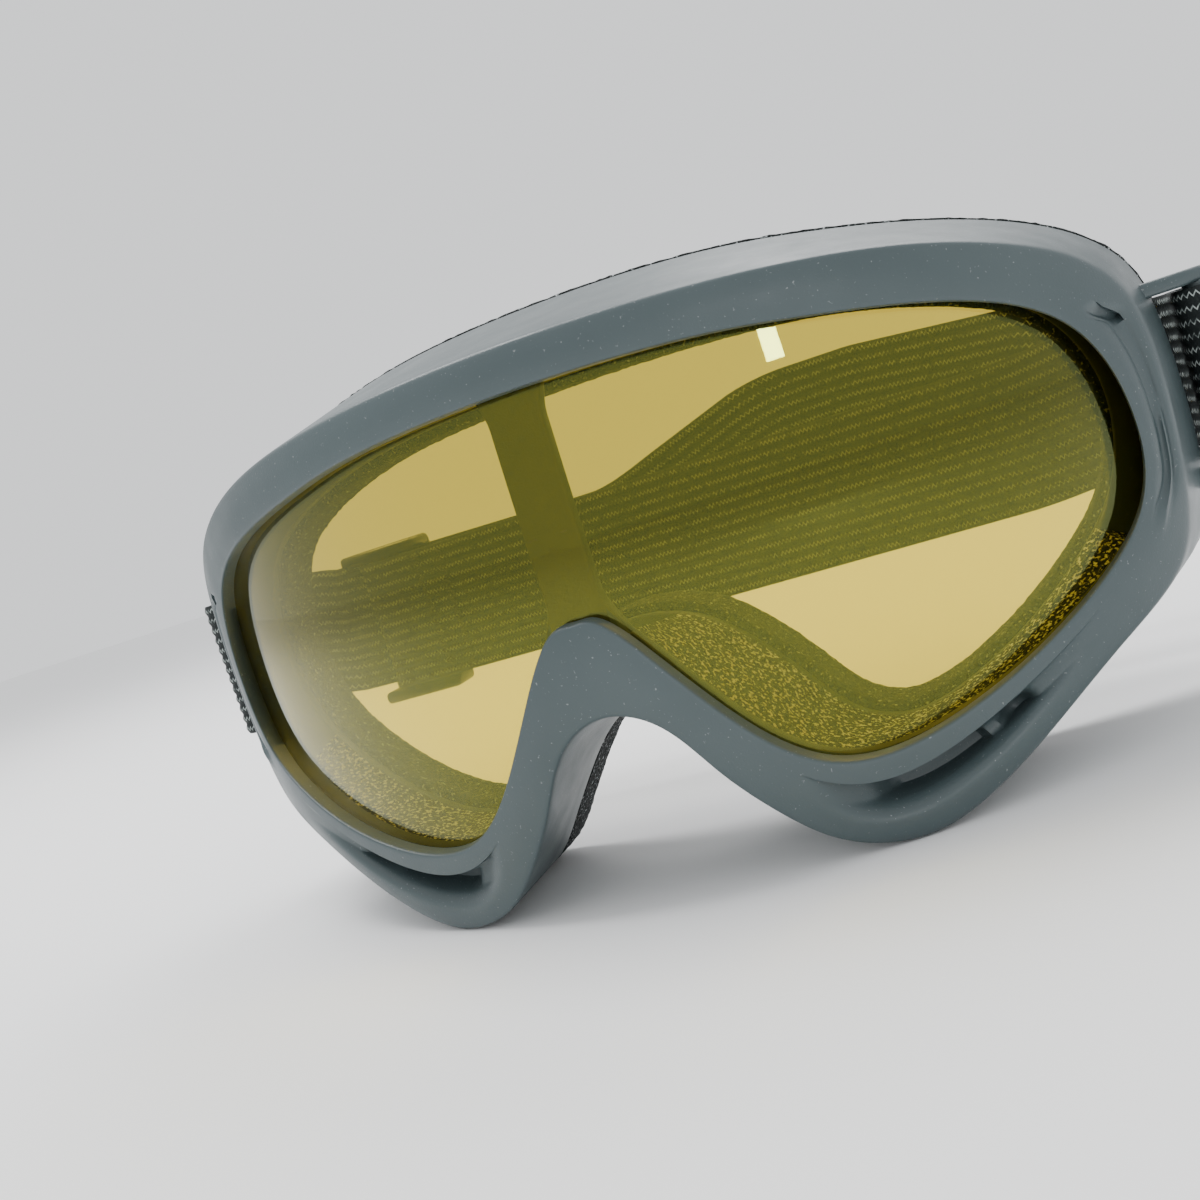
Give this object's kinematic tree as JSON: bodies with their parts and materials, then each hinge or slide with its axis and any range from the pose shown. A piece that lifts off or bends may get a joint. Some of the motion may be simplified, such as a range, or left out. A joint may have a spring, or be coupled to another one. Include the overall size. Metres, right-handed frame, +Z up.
{
  "type": "ski goggles",
  "caption": "Ski goggles: soft moulded frame with a curved yellow lens, foam face seal, vented cheek lobes and an elastic strap with a slider.",
  "frame": {"origin": "middle of the bottom of the box round the whole object, on the surface that it stands on", "axes": "+X the viewer's right (the wearer's left), -Y the front (the lens looks along -Y), +Z up"},
  "size_m": [0.2022, 0.101, 0.0953],
  "materials": {
    "frame_plastic": "satin blue-grey soft plastic with a fine moulded grain",
    "lens_tint": "clear yellow polycarbonate with a slight gold mirror",
    "foam": "black open-cell foam",
    "strap_webbing": "black ribbed elastic webbing with silvery glints",
    "slider_plastic": "black glossy moulded plastic",
    "thread": "black polyester thread"
  },
  "bodies": {
    "goggles": {"frame": "frame_plastic", "lens": "lens_tint", "face_foam": "foam", "vent_foam_left": "foam", "vent_foam_right": "foam", "strap_left_loop": "strap_webbing", "strap_side_left": "strap_webbing", "strap_side_right_outer": "strap_webbing", "strap_side_right_inner": "strap_webbing", "strap_right_turn": "strap_webbing", "left_bar_tack": "thread"},
    "strap_back": {"strap_outer_run": "strap_webbing", "strap_inner_run": "strap_webbing"},
    "strap_slider": {"slider": "slider_plastic", "strap_end_loop": "strap_webbing", "slider_bar_tack": "thread"}
  },
  "joints": [
    {"name": "strap_stretch", "type": "slide", "parent": "goggles", "child": "strap_back", "axis": [0, 1, 0], "range_m": [0, 0.06], "stiffness_N_per_m": 80, "deforming": ["strap_side_left", "strap_side_right_outer", "strap_side_right_inner"]},
    {"name": "slider_slide", "type": "slide", "parent": "strap_back", "child": "strap_slider", "axis": [1, 0, 0], "range_m": [0, 0.04], "deforming": ["strap_inner_run"]}
  ]
}
